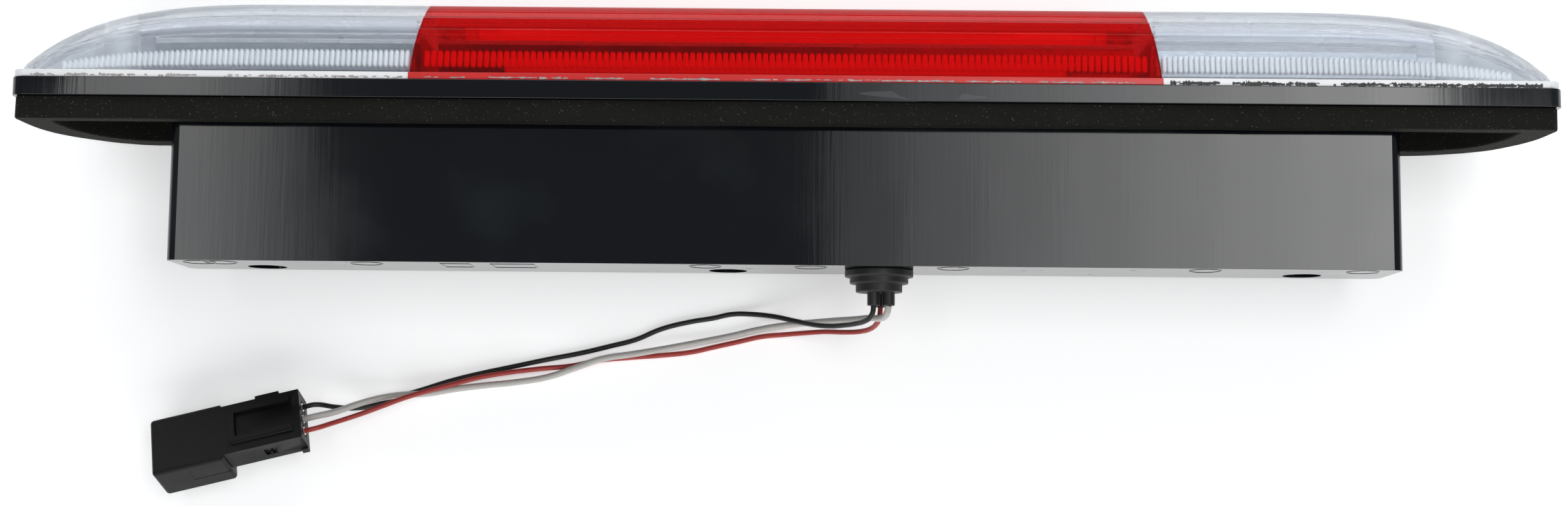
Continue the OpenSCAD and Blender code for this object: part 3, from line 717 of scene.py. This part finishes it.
steel.feed("Roughness", steel.between(steel.grain(900), 0.25, 0.45))
lead = Finish("lead_insulation", base_color=(0.2, 0.2, 0.2), roughness=0.45)
lead.feed("Base Color", lead.mix(lead.grain(500), (0.16, 0.16, 0.16), (0.26, 0.26, 0.26)))
for node, finish in (("brake_led_board", board), ("cargo_board_left", board), ("cargo_board_right", board),
                     ("brake_leds", red_led), ("cargo_leds_left", white_led),
                     ("cargo_leds_right", white_led), ("resistors", chip), ("driver_chips", chip),
                     ("reflector_screws", steel), ("carrier_screws", steel),
                     ("inner_leads", lead), ("link_leads", lead)):
    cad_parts[node].data.materials.clear()
    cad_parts[node].data.materials.append(finish.material)


# Grommet and vent plug. The grommet is a stepped rubber bush pressed into the
# rear wall, with a nipple for each wire. The plug is a disc of porous foam.
rubber = Finish("grommet_rubber", base_color=(0.012, 0.012, 0.012), roughness=0.5)
rubber.feed("Roughness", rubber.between(rubber.grain(200), 0.42, 0.6))
rubber.bump(rubber.grain(1800), 0.00005, 0.6)
bush = from_cad("grommet")
round_edges(bush, sharp_edges(bush, 60), 0.3 * mm, 3)
piece("bush", bush, rubber, ["grommet"])
vent_foam = Finish("vent_foam", base_color=(0.03, 0.03, 0.03), roughness=0.95)
vent_foam.bump(vent_foam.grain(2500, kind="TexVoronoi"), 0.0002)
disc = from_cad("vent_plug")
round_edges(disc, sharp_edges(disc, 60), 0.25 * mm, 2)
piece("vent_disc", disc, vent_foam, ["vent_plug"])


# Studio. A pale floor, soft panels in strips over each side of the lamp with a dark
# gap between them, and a panel beyond the lens and one behind the box.
def panel(name, place, towards, wide, deep, power):
    light = bpy.data.lights.new(name, "AREA")
    light.shape = "RECTANGLE"
    light.size = wide
    light.size_y = deep
    light.energy = power
    made = bpy.data.objects.new(name, light)
    bpy.context.scene.collection.objects.link(made)
    made.location = place
    back = (Vector(place) - Vector(towards)).normalized()
    side = (Vector((1, 0, 0)) - back * back.x).normalized()
    made.rotation_euler = Matrix((side, back.cross(side), back)).transposed().to_euler()


floor_shape = bmesh.new()
bmesh.ops.create_grid(floor_shape, x_segments=1, y_segments=1, size=3)
floor_mesh = bpy.data.meshes.new("floor")
floor_shape.to_mesh(floor_mesh)
floor_shape.free()
floor_finish = Finish("floor", base_color=(0.93, 0.93, 0.93), roughness=0.7,
                      emission_color=(1, 1, 1), emission_strength=0.36)
floor_mesh.materials.append(floor_finish.material)
floor = bpy.data.objects.new("floor", floor_mesh)
bpy.context.scene.collection.objects.link(floor)
ceiling = 1.2
strip_deep = 0.7
strip_wide = 0.065


def strip(name, middle, wide, glow):
    """One strip of a soft panel overhead, with glow as its brightness."""
    panel(name, (middle, -0.05, ceiling), (middle, -0.05, 0), wide, strip_deep,
          glow * math.pi * wide * strip_deep)


for i in range(8):
    start = 0.03 + strip_wide * i
    strip("panel_right_%d" % i, -start - strip_wide / 2, strip_wide, 0.4 + 11 * (start + 0.006))
for i, (start, stop, glow) in enumerate(((0.41, 0.44, 0.8), (0.44, 0.49, 1.9), (0.49, 0.612, 2.9))):
    strip("panel_left_%d" % i, (start + stop) / 2, stop - start, glow)
panel("panel_lens", (0, -1.3, 0.7), (0, 0, 0), 2.0, 0.8, 12)
panel("panel_rear", (0, 1.2, 0.7), (0, 0, 0), 2.0, 0.8, 12)
world = bpy.data.worlds.new("world")
world.use_nodes = True
world.node_tree.nodes["Background"].inputs["Color"].default_value = (0.9, 0.95, 1, 1)
world.node_tree.nodes["Background"].inputs["Strength"].default_value = 0.2
bpy.context.scene.world = world
bpy.context.scene.view_settings.view_transform = "Standard"
